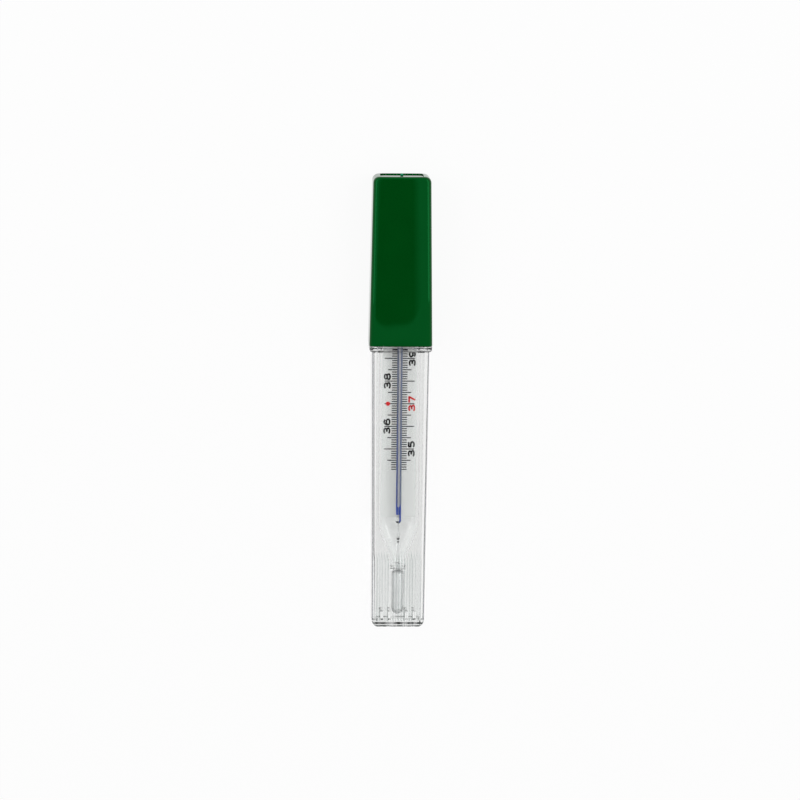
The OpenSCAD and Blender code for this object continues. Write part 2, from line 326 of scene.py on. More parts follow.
def green_plastic():
    """Deep green gloss plastic with a faint moulded waviness. The gate nub on it is rough, and painted
    paler: a painted highlight for the light that its dome catches.
    """
    material, tree, shader = new_material(
        "green_plastic", IOR=1.5, Specular_IOR_Level=0.33, Specular_Tint=(0.06, 1.0, 0.3, 1.0)
    )
    color = blend_colors(tree, noise(tree, 160), *green_tones)
    x, y, z = place(tree)
    nub = product(
        tree,
        spread(tree, y, 0.0, 1.0, *(cap_hi.y - below for below in nub_below_top)),
        band(tree, x, -nub_reach, nub_reach, nub_soft),
        band(tree, z, AXIS_Z - nub_reach, AXIS_Z + nub_reach, nub_soft),
    )
    tree.links.new(blend_colors(tree, nub, color, nub_highlight_tone), shader.inputs["Base Color"])
    gloss = spread(tree, noise(tree, 900), *green_roughness)
    rough = math_node(tree, "MAXIMUM", gloss, product(tree, nub, nub_roughness))
    tree.links.new(rough, shader.inputs["Roughness"])
    add_bump(tree, shader, noise(tree, 90, detail=1.0), green_wave)
    return material


plastic_tone = (0.93, 0.935, 0.93)
plastic_roughness = (0.0, 0.03)

# Mould lines in the lower end of the case: real ridges in the bump, along which a painted shade darkens the
# plastic
streak_shade_tone = (0.60, 0.64, 0.63)
streak_pitch = 0.78 * MM
streak_depth = 0.02 * MM
streak_top = 21.5 * MM
streak_fade = 2.0 * MM
streak_strength = (0.3, 1.0)
streak_shaded = (0.15, 1.0)

# Painted shade: dark lines over the case's bottom, for the shadow under the case that shows through its
# thick edge, broken up into blobs
painted_bottom_shades = ((0.16 * MM, 0.6 * MM), (1.0 * MM, 1.6 * MM))
painted_bottom_shade_soft = 0.1 * MM
painted_bottom_shade_tone = (0.0004, 0.0015, 0.001)
blob_strength = (0.45, 1.0)
blob_range = (0.42, 0.58)

# Painted shade: dark lines on the case's front corners, for the dark refractions in them, which lean out
# with its draft
case_low_half = (7.5 * MM, 4.5 * MM)
case_draft = 0.008113
corner_line_y = (case_lo.y + 2.0 * MM, case_hi.y - 13.7 * MM)
corner_line_end_soft = 0.1 * MM
corner_line_in = (0.3 * MM, 1.0 * MM)
corner_line_soft = 0.03 * MM
corner_shade_tone = (0.22, 0.23, 0.25)

# Painted shade: lines round the collar, for the dark refractions at its edges, as distances below the mouth.
# The dark one is strongest in dashes, given by X
collar_thin_line = (12.66 * MM, 12.46 * MM)
collar_thin_soft = 0.06 * MM
collar_thin_shade_tone = (0.30, 0.28, 0.33)
collar_dark_line = (13.78 * MM, 13.2 * MM)
collar_dark_soft = 0.08 * MM
collar_dark_shade_tone = (0.0004, 0.0004, 0.0003)
collar_dashes = (
    (-8.3 * MM, -7.2 * MM),
    (-6.5 * MM, -5.2 * MM),
    (4.8 * MM, 6.8 * MM),
    (7.6 * MM, 8.8 * MM),
)
collar_dash_soft = 0.1 * MM
between_dashes = 0.25


def corner_lines(tree, x, y, z):
    """Mask of the painted shade on the case's two front corners: 1 on them, and 0 elsewhere."""
    grow = product(tree, math_node(tree, "SUBTRACT", y, corner_line_y[0]), case_draft)
    line = band(tree, y, *corner_line_y, corner_line_end_soft)
    sides = (math_node(tree, "ABSOLUTE", x), math_node(tree, "SUBTRACT", z, AXIS_Z))
    for across, half, inside in zip(sides, case_low_half, corner_line_in):
        past = math_node(tree, "SUBTRACT", across, grow)
        edge = half - inside
        outside = spread(tree, past, 0.0, 1.0, edge - corner_line_soft, edge + corner_line_soft)
        line = product(tree, line, outside)
    return line


def collar_line(tree, y, below_mouth, soft):
    """1 on a line of painted shade round the collar, and 0 elsewhere."""
    return band(tree, y, case_hi.y - below_mouth[0], case_hi.y - below_mouth[1], soft)


def clear_plastic():
    """Clear moulded plastic, with fine upright mould lines in the lower end, along which a painted shade
    darkens it. Painted shade also stands for the dark refractions in its thick edges: two lines over the
    bottom, one on each front corner and two round the collar."""
    material, tree, shader = new_material("clear_plastic", Transmission_Weight=1.0, IOR=1.55)
    x, y, z = place(tree)
    top = case_lo.y + streak_top
    mask = spread(tree, y, 1.0, 0.0, top - streak_fade, top)
    wave = math_node(tree, "SINE", product(tree, x, 2 * math.pi / streak_pitch))
    uneven = spread(tree, noise(tree, 700, stretch=(1, 0.02, 0.05)), *streak_strength)
    height = product(tree, wave, uneven, mask)
    add_bump(tree, shader, height, streak_depth)
    # Painted shade: the plastic is tinted darker along the mould ridges
    lines = spread(tree, height, 0.0, 1.0, *streak_shaded)
    color = blend_colors(tree, lines, plastic_tone, streak_shade_tone)
    blobs = spread(tree, noise(tree, 420, stretch=(1, 1, 0.2)), *blob_strength, *blob_range)
    # Painted shade: two dark lines over the bottom
    for low, high in painted_bottom_shades:
        edge = band(tree, y, case_lo.y + low, case_lo.y + high, painted_bottom_shade_soft)
        color = blend_colors(tree, product(tree, edge, blobs), color, painted_bottom_shade_tone)
    color = blend_colors(tree, corner_lines(tree, x, y, z), color, corner_shade_tone)
    # Painted shade: a thin grey line and a dark dashed line round the collar
    thin = collar_line(tree, y, collar_thin_line, collar_thin_soft)
    color = blend_colors(tree, thin, color, collar_thin_shade_tone)
    dashes = between_dashes
    for low, high in collar_dashes:
        dashes = math_node(tree, "MAXIMUM", band(tree, x, low, high, collar_dash_soft), dashes)
    dark = product(tree, collar_line(tree, y, collar_dark_line, collar_dark_soft), dashes)
    color = blend_colors(tree, dark, color, collar_dark_shade_tone)
    tree.links.new(color, shader.inputs["Base Color"])
    tree.links.new(spread(tree, noise(tree, 300), *plastic_roughness), shader.inputs["Roughness"])
    return material


glass_wave = 0.002 * MM


def clear_glass(name):
    """Clear drawn glass with a faint lengthwise waviness."""
    material, tree, shader = new_material(
        name, Base_Color=(0.995, 1.0, 1.0, 1), Transmission_Weight=1.0, IOR=1.5, Roughness=0.0
    )
    add_bump(tree, shader, noise(tree, 500, stretch=(1, 0.05, 1), detail=1.0), glass_wave)
    return material


# The blue band ends in a tail at its right, and the tail in a hook
band_tones = ((0.002, 0.055, 0.48), (0.20, 0.25, 0.40))
band_fade_y = (strip_lo.y + 2.0 * MM, 0.0)
band_pale_rise = 1.0 * MM
band_side_soft = 0.1 * MM
band_foot = 0.75 * MM
tail_x = (0.12 * MM, 0.56 * MM)
tail_above_foot = 0.3 * MM
hook_x = -0.32 * MM
hook_top = rod_lo.y + 0.62 * MM
hook_soft = 0.05 * MM
hook_tone = (0.006, 0.007, 0.005)


def blue_enamel():
    """Blue band, paler upwards and at its right, with a dark hook."""
    material, tree, shader = new_material("blue_enamel", Roughness=0.3)
    x, y, _ = place(tree)
    fade = spread(tree, y, 0.0, 1.0, *band_fade_y)
    right = spread(tree, x, 0.0, 1.0, -band_side_soft, band_side_soft)
    above = spread(tree, y, 0.0, 1.0, thread_lo.y, thread_lo.y + band_pale_rise)
    fade = math_node(tree, "MAXIMUM", fade, product(tree, right, above))
    color = blend_colors(tree, fade, *band_tones)
    low = spread(tree, y, 1.0, 0.0, hook_top - hook_soft, hook_top + hook_soft)
    left = spread(tree, x, 1.0, 0.0, tail_x[0] - band_side_soft, tail_x[0] + band_side_soft)
    hook = product(tree, low, left)
    tree.links.new(blend_colors(tree, hook, color, hook_tone), shader.inputs["Base Color"])
    return material


plate_tones = ((0.84, 0.85, 0.84), (0.88, 0.89, 0.88))
plate_grain = 0.004 * MM
# Painted shadow of the rod on the plate, beside the bore
rod_shadow_x = (-2.6 * MM, 0.6 * MM)
rod_shadow_soft = 1.4 * MM
rod_shadow_share = 0.8
rod_shadow_tone = (0.66, 0.67, 0.66)


def scale_white():
    """Satin white plate with a fine grain, and a painted shadow of the rod beside the bore."""
    material, tree, shader = new_material("scale_white", Roughness=0.45)
    grain = noise(tree, 2500)
    color = blend_colors(tree, grain, *plate_tones)
    shade = product(tree, band(tree, place(tree)["X"], *rod_shadow_x, rod_shadow_soft), rod_shadow_share)
    tree.links.new(blend_colors(tree, shade, color, rod_shadow_tone), shader.inputs["Base Color"])
    add_bump(tree, shader, grain, plate_grain)
    return material


def ink(name, thin, full):
    """Printed ink, a little uneven."""
    material, tree, shader = new_material(name, Roughness=0.6, Specular_IOR_Level=0.1)
    tree.links.new(blend_colors(tree, noise(tree, 6000), thin, full), shader.inputs["Base Color"])
    return material


neck_ring_h = 1.5 * MM
bead_liquid_r = (0.22 * MM, 0.3 * MM)
bead_above_neck = 6.7 * MM
bead_pitch = 0.9 * MM
bead_tone_soft = 0.02 * MM
bulb_tone_fade = 0.2 * MM
metal_roughness = (0.55, 0.65)


def bead_places():
    """Middles of the two beads of liquid in the stem."""
    low = env_lo.y + neck_ring_h + bead_above_neck
    return (low, low + bead_pitch)


def liquid_metal(name, bulb_tone, stem_shaded_tone, bead_tone):
    """Liquid metal with a tone in the bulb, one above it and one in the stem's two beads. The bulb's is
    bright; the darker one above it and the near-black one in the beads are painted shade.
    """
    material, tree, shader = new_material(name, Metallic=1.0)
    y = place(tree)["Y"]
    narrow = spread(tree, y, 0.0, 1.0, bulb_hi.y - bulb_tone_fade, bulb_hi.y)
    color = blend_colors(tree, narrow, bulb_tone, stem_shaded_tone)
    for middle, r in zip(bead_places(), bead_liquid_r):
        bead = band(tree, y, middle - r, middle + r, bead_tone_soft)
        color = blend_colors(tree, bead, color, bead_tone)
    tree.links.new(color, shader.inputs["Base Color"])
    tree.links.new(spread(tree, noise(tree, 900), *metal_roughness), shader.inputs["Roughness"])
    return material


# The thread is the same liquid metal, painted in a darker tone as painted shade
thread_shaded_tone = (0.58, 0.58, 0.63)

GREEN = green_plastic()
CLEAR = clear_plastic()
GLASS = clear_glass("clear_glass")
BULB_GLASS = clear_glass("bulb_glass")
BLUE = blue_enamel()
WHITE = scale_white()
BLACK_INK = ink("black_ink", (0.012, 0.012, 0.013), (0.003, 0.003, 0.004))
RED_INK = ink("red_ink", (0.80, 0.016, 0.018), (0.70, 0.008, 0.012))
# Painted shade: the liquid is bright in the bulb, darker above it and near black in the beads
METAL = liquid_metal("liquid_metal", (0.9, 0.91, 0.91), (0.45, 0.45, 0.47), (0.01, 0.01, 0.012))
THREAD_METAL = liquid_metal("thread_metal", thread_shaded_tone, thread_shaded_tone, thread_shaded_tone)

# Case

case_bottom = (15.0 * MM, 9.0 * MM)
case_corner_r = 1.0 * MM
case_bottom_side_r = 2.0 * MM
case_bottom_face_r = 1.2 * MM
case_floor_t = 1.7 * MM
least_corner_r = 0.1 * MM
collar_size = (case_hi.x - case_lo.x, case_hi.z - case_lo.z)
collar_h = 1.6 * MM
collar_lip = 0.8 * MM
collar_low_r = 0.7 * MM
collar_top_r = 0.15 * MM
collar_corner_r = 1.45 * MM
neck_h = 12.0 * MM
neck_mouth = (15.1 * MM, 9.1 * MM)
neck_corner_r = 1.2 * MM
neck_draft = 0.0153
mouth_edge_r = 0.2 * MM
cavity_bottom = (13.0 * MM, 7.0 * MM)
cavity_mouth = (13.7 * MM, 7.7 * MM)
cavity_corner_r = 0.3 * MM
floor_fillet_r = 0.4 * MM
fin_h = 2.8 * MM
fin_t = 0.8 * MM
fin_places = (2.45 * MM, 4.65 * MM)
fin_edge_r = 0.3 * MM
fin_bury = 0.4 * MM


def case_rings():
    """The case's surface from the middle of its bottom, up its outside and down its inside to its floor."""
    bottom_y = case_lo.y
    mouth_y = case_hi.y
    top_y = mouth_y - neck_h
    collar_y = top_y - collar_h
    floor_y = bottom_y + case_floor_t
    rings = []
    for h in edge_heights(case_bottom_side_r):
        side = drawn_in(h, case_bottom_side_r)
        face = drawn_in(h, case_bottom_face_r)
        size = (case_bottom[0] - 2 * side, case_bottom[1] - 2 * face)
        rings.append(box_ring(bottom_y + h, size, max(case_corner_r - face, least_corner_r)))
    rings.append(box_ring(collar_y, grown(collar_size, -collar_lip), case_corner_r))
    for h in edge_heights(collar_low_r):
        inset = drawn_in(h, collar_low_r)
        rings.append(box_ring(collar_y + h, grown(collar_size, -inset), collar_corner_r - inset))
    for h in reversed(edge_heights(collar_top_r)):
        inset = drawn_in(h, collar_top_r)
        rings.append(box_ring(top_y - h, grown(collar_size, -inset), collar_corner_r - inset))
    rings.append(box_ring(top_y, grown(neck_mouth, neck_draft * neck_h), neck_corner_r))
    for h in reversed(edge_heights(mouth_edge_r)):
        inset = drawn_in(h, mouth_edge_r)
        rings.append(box_ring(mouth_y - h, grown(neck_mouth, -inset), neck_corner_r - inset))
    rings.append(box_ring(mouth_y, cavity_mouth, cavity_corner_r))
    for h in reversed(edge_heights(floor_fillet_r)):
        inset = drawn_in(h, floor_fillet_r)
        corner = max(cavity_corner_r - inset, least_corner_r)
        rings.append(box_ring(floor_y + h, grown(cavity_bottom, -inset), corner))
    return rings


def fin_mesh(x):
    """Fin from the case's front wall to its back wall, with a rounded crest."""
    low_y = case_lo.y + case_floor_t - fin_bury
    crest_y = case_lo.y + case_floor_t + fin_h
    size = (fin_t, cavity_bottom[1] + 2 * fin_bury)
    rings = [box_ring(low_y, size, least_corner_r, x=x)]
    for h in reversed(edge_heights(fin_edge_r)):
        narrow = (size[0] - 2 * drawn_in(h, fin_edge_r), size[1])
        rings.append(box_ring(crest_y - h, narrow, least_corner_r, x=x))
    return loft(rings)


def joined(obj, tools):
    """The object's mesh with the tools' solids joined to it."""
    for tool in tools:
        union = obj.modifiers.new("joined", "BOOLEAN")
        union.operation = "UNION"
        union.solver = "EXACT"
        union.object = tool
    depsgraph = bpy.context.evaluated_depsgraph_get()
    mesh = bpy.data.meshes.new_from_object(obj.evaluated_get(depsgraph))
    for thing in [obj, *tools]:
        bpy.data.objects.remove(thing)
    bm = bmesh.new()
    bm.from_mesh(mesh)
    bpy.data.meshes.remove(mesh)
    return bm


fins = [
    to_object("fin", fin_mesh(side * place_x)) for side in (-1, 1) for place_x in fin_places
]
case_mesh = joined(to_object("case_shell", loft(case_rings())), fins)
piece("clear_case", case_mesh, CLEAR, "clear_plastic", "case", "case", flats=True, clear=True)

# Cap

cap_rim = (cap_hi.x - cap_lo.x, cap_hi.z - cap_lo.z)
cap_draft = 0.0153
cap_wall = 1.1 * MM
cap_corner_r = 1.5 * MM
cap_in_corner_r = 1.35 * MM
cap_end_t = 1.55 * MM
cap_crown = 0.22 * MM
cap_length_crown = 0.15 * MM
cap_length_steps = 16
rim_edge_r = 0.12 * MM
cap_end_side_r = 1.7 * MM
cap_end_face_r = 0.7 * MM
tray_depth = 0.3 * MM
tray_rim = 0.4 * MM
tray_corner_r = 1.4 * MM
tray_edge_r = 0.12 * MM
nub_d = 0.85 * MM
nub_h = 0.8 * MM


def cap_at(y):
    """Size of the cap's outside."""
    return grown(cap_rim, -cap_draft * (y - cap_lo.y))


def cap_rings():
    """The cap's surface from its ceiling, down its inside, up its outside and over its end to the tray."""
    tray_y = cap_hi.y - nub_h
    end_y = tray_y + tray_depth
    ceiling_y = tray_y - cap_end_t
    rings = []
    for h in edge_heights(rim_edge_r):
        inset = drawn_in(h, rim_edge_r)
        size = grown(cap_at(ceiling_y), -cap_wall - inset)
        rings.append(box_ring(ceiling_y - h, size, cap_in_corner_r - inset))
    rings.append(box_ring(cap_lo.y, grown(cap_at(cap_lo.y), -cap_wall), cap_in_corner_r))
    for h in edge_heights(rim_edge_r):
        inset = drawn_in(h, rim_edge_r)
        size = grown(cap_at(cap_lo.y), -inset)
        rings.append(box_ring(cap_lo.y + h, size, cap_corner_r - inset, cap_crown))
    straight_y = end_y - cap_end_side_r
    for k in range(1, cap_length_steps):
        t = k / cap_length_steps
        width, depth = cap_at(cap_lo.y + t * (straight_y - cap_lo.y))
        swell = 4 * cap_length_crown * t * (1 - t)
        size = (width, depth + 2 * swell)
        rings.append(box_ring(cap_lo.y + t * (straight_y - cap_lo.y), size, cap_corner_r, cap_crown))
    for h in reversed(edge_heights(cap_end_side_r)):
        side = drawn_in(h, cap_end_side_r)
        face = drawn_in(h, cap_end_face_r)
        width, depth = cap_at(end_y - h)
        size = (width - 2 * side, depth - 2 * face)
        rings.append(box_ring(end_y - h, size, cap_corner_r - face, cap_crown))
    width, depth = cap_at(end_y)
    opening = (width - 2 * (cap_end_side_r + tray_rim), depth - 2 * (cap_end_face_r + tray_rim))
    for h in edge_heights(tray_edge_r):
        inset = drawn_in(h, tray_edge_r)
        rings.append(box_ring(end_y - h, grown(opening, tray_edge_r - inset), tray_corner_r))
    rings.append(box_ring(tray_y, opening, tray_corner_r))
    return rings


def add_nub(bm):
    """Round gate nub on the tray's floor, with a domed top."""
    low_y = cap_hi.y - nub_h - tray_depth / 2
    r = nub_d / 2
    rings = [ellipse_ring(low_y, r, r)]
    for turn in quarter_turns(EDGE_STEPS)[:-1]:
        wide = r * math.cos(turn)
        rings.append(ellipse_ring(cap_hi.y - r / 2 + r / 2 * math.sin(turn), wide, wide))
    add_mesh(bm, loft(rings))


cap_mesh = loft(cap_rings())
add_nub(cap_mesh)
piece("green_cap", cap_mesh, GREEN, "green_plastic", "cap", "cap", flats=True)

# Glass envelope

env_r = (env_hi.z - env_lo.z) / 2
env_flat = (env_hi.x - env_lo.x) / 2 - env_r
env_wall = 0.6 * MM
neck_ring_r = 2.2 * MM
neck_groove_r = 0.25 * MM
shoulder_h = 12.5 * MM


def shoulder_rings(low_y, high_y, circle_r, flat, r):
    """Rings of the drawn glass between a circle and a flat oval."""
    rings = []
    for k in range(SHOULDER_STEPS + 1):
        t = k / SHOULDER_STEPS
        s = t * t * (3 - 2 * t)
        rings.append(oval_ring(low_y + (high_y - low_y) * t, flat * s, circle_r + (r - circle_r) * s))
    return rings


def envelope_rings():
    """The envelope's surface from its fused neck, up its outside and down its inside."""
    neck_y = env_lo.y
    shoulder_y = neck_y + neck_ring_h
    straight_y = shoulder_y + shoulder_h
    groove_y = neck_y + neck_ring_h / 2
    rings = [oval_ring(neck_y, 0, neck_ring_r)]
    for k in range(-EDGE_STEPS, EDGE_STEPS + 1):
        turn = math.pi / 2 * k / EDGE_STEPS
        r = neck_ring_r - neck_groove_r * math.cos(turn)
        rings.append(oval_ring(groove_y + neck_groove_r * math.sin(turn), 0, r))
    rings += shoulder_rings(shoulder_y, straight_y, neck_ring_r, env_flat, env_r)
    rings.append(oval_ring(env_hi.y, env_flat, env_r))
    rings.append(oval_ring(env_hi.y, env_flat, env_r - env_wall))
    inside_neck_r = neck_ring_r - env_wall
    inside_r = env_r - env_wall
    rings += reversed(shoulder_rings(shoulder_y + env_wall, straight_y, inside_neck_r, env_flat, inside_r))
    return rings


piece("glass_envelope", loft(envelope_rings()), GLASS, "clear_glass", "thermometer", "envelope", clear=True)

# End plug

plug_head_r = 1.2 * MM
plug_clear = 0.05 * MM


def plug_rings():
    """Spigot inside the glass, and a head with a rounded edge."""
    spigot_r = env_r - env_wall - plug_clear
    rings = [oval_ring(plug_lo.y, env_flat, spigot_r), oval_ring(env_hi.y, env_flat, spigot_r)]
    rings.append(oval_ring(env_hi.y, env_flat, env_r))
    for h in reversed(edge_heights(plug_head_r)):
        rings.append(oval_ring(plug_hi.y - h, env_flat, env_r - drawn_in(h, plug_head_r)))
    return rings


piece("plug", loft(plug_rings()), GREEN, "green_plastic", "thermometer", "end_plug")

# Bulb, with the liquid against its glass

bulb_r = (bulb_hi.x - bulb_lo.x) / 2
bulb_wall = 0.3 * MM
bulb_top_r = 0.8 * MM
fine_bore_r = 0.035 * MM
finest_bore_r = 0.02 * MM
finest_above_foot = 0.4 * MM
stem_r = 0.4 * MM
bead_proud = 0.03 * MM
bead_share = 0.49


def thimble_rings(low_y, high_y, r):
    """Rod with a half-round lower end."""
    rings = []
    for turn in quarter_turns(ROUND_END_STEPS)[1:]:
        wide = r * math.sin(turn)
        rings.append(ellipse_ring(low_y + r - r * math.cos(turn), wide, wide))
    rings.append(ellipse_ring(high_y, r, r))
    return rings


def bulb_rings():
    """The bulb's outside, drawn in where it is fused to the neck."""
    rings = thimble_rings(bulb_lo.y, bulb_hi.y - bulb_top_r, bulb_r)
    for h in reversed(edge_heights(bulb_top_r)[:-1]):
        wide = bulb_r - drawn_in(h, bulb_top_r)
        rings.append(ellipse_ring(bulb_hi.y - h, wide, wide))
    return rings


piece("bulb_glass", loft(bulb_rings()), BULB_GLASS, "bulb_glass", "thermometer", "bulb", clear=True)


def beaded(low_y, high_y, r, bead_radii):
    """Rings of a thin rod with two beads, each of which keeps to its share of the pitch."""
    rings = [ellipse_ring(low_y, r, r)]
    for middle, bead_r in zip(bead_places(), bead_radii):
        reach = math.sqrt(bead_r * bead_r - r * r)
        shorten = min(1, bead_share * bead_pitch / reach)
        for k in range(BEAD_STEPS + 1):
            h = -reach + 2 * reach * k / BEAD_STEPS
            wide = math.sqrt(bead_r * bead_r - h * h)
            rings.append(ellipse_ring(middle + h * shorten, wide, wide))
    rings.append(ellipse_ring(high_y, r, r))
    return rings


def liquid_rings():
    """Liquid in the bulb, drawn in to the fine bore of the stem."""
    top_y = bulb_hi.y - bulb_wall
    inside_r = bulb_r - bulb_wall
    rings = thimble_rings(bulb_lo.y + bulb_wall, top_y - bulb_top_r, inside_r)
    for turn in quarter_turns(ROUND_END_STEPS)[1:-1]:
        wide = fine_bore_r + (inside_r - fine_bore_r) * math.cos(turn)
        rings.append(ellipse_ring(top_y - bulb_top_r + bulb_top_r * math.sin(turn), wide, wide))
    rings += beaded(top_y, rod_lo.y, fine_bore_r, bead_liquid_r)
    for y in (rod_lo.y + finest_above_foot, thread_lo.y):
        rings.append(ellipse_ring(y, finest_bore_r, finest_bore_r))
    return rings


piece("bulb_metal", loft(liquid_rings()), METAL, "liquid_metal", "thermometer", "bulb_liquid")

stem_y = env_lo.y + neck_ring_h + env_wall
stem_bead_r = stem_r + bead_proud
stem_mesh = loft(beaded(stem_y, rod_lo.y, stem_r, (stem_bead_r, stem_bead_r)))
piece("stem_glass", stem_mesh, GLASS, "clear_glass", "thermometer", "stem_capillary", clear=True)

# Scale capillary with the thread in it

rod_r = (rod_hi.x - rod_lo.x) / 2
rod_z = rod_hi.z - rod_r
rod_flat = rod_z - rod_lo.z


def rod_rings():
    """Lens-front rod with a flat back, a round foot and a round tip."""
    turns = quarter_turns(ROUND_END_STEPS)[1:]
    foot = [(rod_lo.y + rod_r - rod_r * math.cos(turn), turn) for turn in turns]
    tip = [(rod_hi.y - rod_r + rod_r * math.cos(turn), turn) for turn in reversed(turns)]
    return [lens_ring(y, rod_r * math.sin(turn), rod_flat, rod_z) for y, turn in foot + tip]


piece("scale_rod", loft(rod_rings()), GLASS, "clear_glass", "thermometer", "scale_capillary", clear=True)

# The thread is a flat oval, as in a real bore, so that the lens shows it wide
thread_half_w = 0.155 * MM
thread_half_d = 0.12 * MM
thread_gap = 0.05 * MM
thread_end_r = 0.25 * MM
thread_tip_share = 0.1


def thread_rings(low_y, high_y, at_top):
    """Flat-oval thread with a rounded end, at its top or at its foot."""
    rings = []
    for turn in quarter_turns(EDGE_STEPS):
        share = max(math.sin(turn), thread_tip_share)
        inward = thread_end_r - thread_end_r * math.cos(turn)
        y = high_y - inward if at_top else low_y + inward
        rings.append(ellipse_ring(y, thread_half_w * share, thread_half_d * share))
    rings.append(ellipse_ring(low_y if at_top else high_y, thread_half_w, thread_half_d))
    return rings


thread_mesh = loft(thread_rings(thread_lo.y, thread_hi.y - thread_gap, at_top=False))
thread = piece("metal_thread", thread_mesh, THREAD_METAL, "liquid_metal", "thermometer", "liquid_thread")
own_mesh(thread)
meniscus_mesh = loft(thread_rings(meniscus_lo.y, meniscus_hi.y, at_top=True))
piece("thread_top", meniscus_mesh, THREAD_METAL, "liquid_metal", "meniscus", "meniscus")

# Blue band, let into the rod's flat

strip_sink = 0.02 * MM
strip_edge_r = 0.02 * MM
strip_overlap = 0.1 * MM


def strip_mesh():
    """Thin band with its front in the glass. Three boxes make up the band, its tail and the tail's hook."""
    half_w = (strip_hi.x - strip_lo.x) / 2
    foot_y = strip_lo.y + band_foot
    bm = bmesh.new()
    for x, y in (
        ((-half_w, half_w), (foot_y, strip_hi.y)),
        (tail_x, (hook_top - strip_overlap, foot_y + strip_overlap)),
        ((hook_x, tail_x[1]), (rod_lo.y + tail_above_foot, hook_top)),
    ):
        add_box(bm, x, y, (strip_lo.z, strip_hi.z + strip_sink))
    bmesh.ops.bevel(bm, geom=bm.edges[:], offset=strip_edge_r, segments=2, affect="EDGES")
    return bm


piece("blue_band", strip_mesh(), BLUE, "blue_enamel", "thermometer", "backing_strip")

# Scale plate and its print

plate_corner_r = 0.5 * MM
plate_edge_r = 0.06 * MM


def plate_mesh():
    """Thin plate with rounded corners and softened edges."""
    bm = bmesh.new()
    bmesh.ops.create_cube(bm, size=1)
    size = plate_hi - plate_lo
    middle = (plate_hi + plate_lo) / 2
    bmesh.ops.transform(bm, matrix=Matrix.LocRotScale(middle, None, size), verts=bm.verts)
    upright = [e for e in bm.edges if abs(e.verts[0].co.z - e.verts[1].co.z) > size.z / 2]
    bmesh.ops.bevel(bm, geom=upright, offset=plate_corner_r, segments=6, affect="EDGES", profile=0.5)
    rims = [e for e in bm.edges if abs(e.verts[0].co.z - e.verts[1].co.z) < size.z / 4]
    bmesh.ops.bevel(bm, geom=rims, offset=plate_edge_r, segments=2, affect="EDGES", profile=0.5)
    return bm


piece("white_plate", plate_mesh(), WHITE, "scale_white", "thermometer", "scale_plate", flats=True)

degree_len = 6.55 * MM
lowest_degree = 35
fever_degree = 37
top_degree = 42
top_degree_y = meniscus_hi.y
lowest_tenth = 341
tick_t = 0.29 * MM
tick_inner = 0.6 * MM
tick_reach = {"tenth": 2.2 * MM, "half": 3.35 * MM, "degree": 4.3 * MM}
print_t = 0.012 * MM
print_sink = 0.004 * MM
print_z = (plate_hi.z - print_sink, plate_hi.z + print_t)
digit_h = 2.1 * MM
digit_w = 2.05 * MM
digit_gap = 0.5 * MM
digit_stroke = 0.5 * MM
numeral_x = 3.55 * MM
dot_r = 0.62 * MM
dot_inset = 0.25 * MM


def degree_y(degree):
    """Place of a temperature on the scale."""
    return top_degree_y + (degree - top_degree) * degree_len


def ticks_mesh():
    """Lines of the scale, ten to a degree, with longer ones at halves and whole degrees."""
    bm = bmesh.new()
    for tenth in range(lowest_tenth, 10 * top_degree + 1):
        kind = "degree" if tenth % 10 == 0 else "half" if tenth % 5 == 0 else "tenth"
        y = degree_y(tenth / 10)
        for side in (-1, 1):
            x = sorted((side * tick_inner, side * tick_reach[kind]))
            add_box(bm, x, (y - tick_t / 2, y + tick_t / 2), print_z)
    return bm


def arc(x, y, half_w, half_h, first, last):
    """Points of an elliptical arc, with its angles in degrees."""
    steps = max(LEAST_ARC_STEPS, round(abs(last - first) / ARC_STEP))
    turns = [math.radians(first + (last - first) * k / steps) for k in range(steps + 1)]
    return [(x + half_w * math.cos(t), y + half_h * math.sin(t)) for t in turns]


# Middle lines of the digits' strokes. 1 is half the width or height between the middles of the outer strokes
DIGITS = {
    "0": [arc(0, 0, 1, 1, 90, 450)],
    "1": [[(-0.55, 0.42), (0.1, 0.95)], [(0.2, 1.26), (0.2, -1.26)]],
    "2": [arc(0, 0.42, 0.95, 0.58, 170, -30) + [(-0.8, -0.92)], [(-1.2, -1), (1.2, -1)]],
    "3": [arc(-0.05, 0.5, 0.9, 0.5, 165, -90), arc(0, -0.5, 1, 0.5, 90, -165), [(-0.4, 0), (0, 0)]],
    "4": [[(0.35, 1.05), (-0.95, -0.42)], [(-1.2, -0.45), (1.2, -0.45)], [(0.45, 1.26), (0.45, -1.26)]],
    "5": [[(-0.95, 1), (0.95, 1)], [(-0.75, 1), (-0.78, 0.02)], arc(0, -0.37, 1, 0.63, 142, -150)],
    "6": [arc(0, -0.4, 1, 0.6, 0, 360), arc(0.05, -0.3, 1.05, 1.3, 42, 184)],
    "7": [[(-1.2, 1), (1.2, 1)], [(0.95, 0.95), (-0.25, -1.26)]],
    "8": [arc(0, 0.52, 0.85, 0.48, 0, 360), arc(0, -0.46, 1, 0.54, 0, 360)],
    "9": [arc(0, 0.4, 1, 0.6, 0, 360), arc(-0.05, 0.3, 1.05, 1.3, 222, 364)],
}


def stroke_mesh(points):
    """Printed stroke of even width along the points."""
    low, high = print_z
    rings = []
    for i, point in enumerate(points):
        ahead = points[min(i + 1, len(points) - 1)]
        behind = points[max(i - 1, 0)]
        along = (Vector(ahead) - Vector(behind)).normalized()
        aside = Vector((-along.y, along.x)) * digit_stroke / 2
        left = Vector(point) + aside
        right = Vector(point) - aside
        rings.append([(*left, low), (*right, low), (*right, high), (*left, high)])
    return loft([[Vector(p) for p in ring] for ring in rings])


